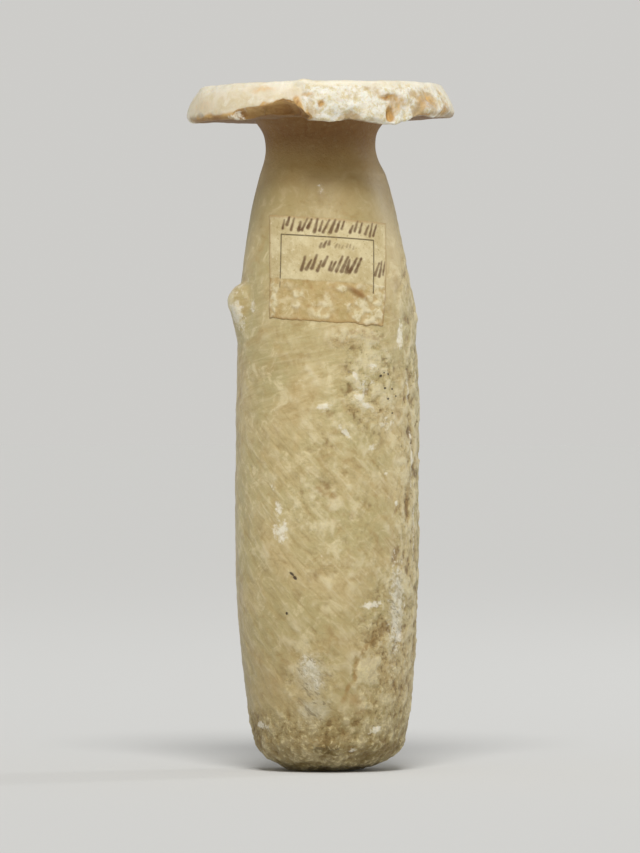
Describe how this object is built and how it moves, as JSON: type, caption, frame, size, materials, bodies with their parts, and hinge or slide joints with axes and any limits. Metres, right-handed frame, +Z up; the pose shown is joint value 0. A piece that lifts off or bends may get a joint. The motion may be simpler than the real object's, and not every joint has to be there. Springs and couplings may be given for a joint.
{
  "type": "alabaster perfume vase",
  "caption": "Tall narrow alabaster perfume vase, drilled hollow, with a broad flat rim round a small mouth, worn shoulder lugs, a chipped rim and foot, and an aged paper label.",
  "frame": {"origin": "centre of the small worn flat under the foot, on the surface that the vase stands on", "axes": "+Z up along the vase from foot to rim; -Y is the side with the label; +X is the right-hand side seen from the label's side"},
  "size_m": [0.0684, 0.0684, 0.1754],
  "materials": {
    "stone": "worn, slightly translucent cream alabaster with brown weathering, white scuffs and rough broken edges",
    "paper": "matt aged paper, browned and partly torn away"
  },
  "bodies": {
    "root": {"vase": "stone", "paper_label": "paper"}
  },
  "joints": []
}
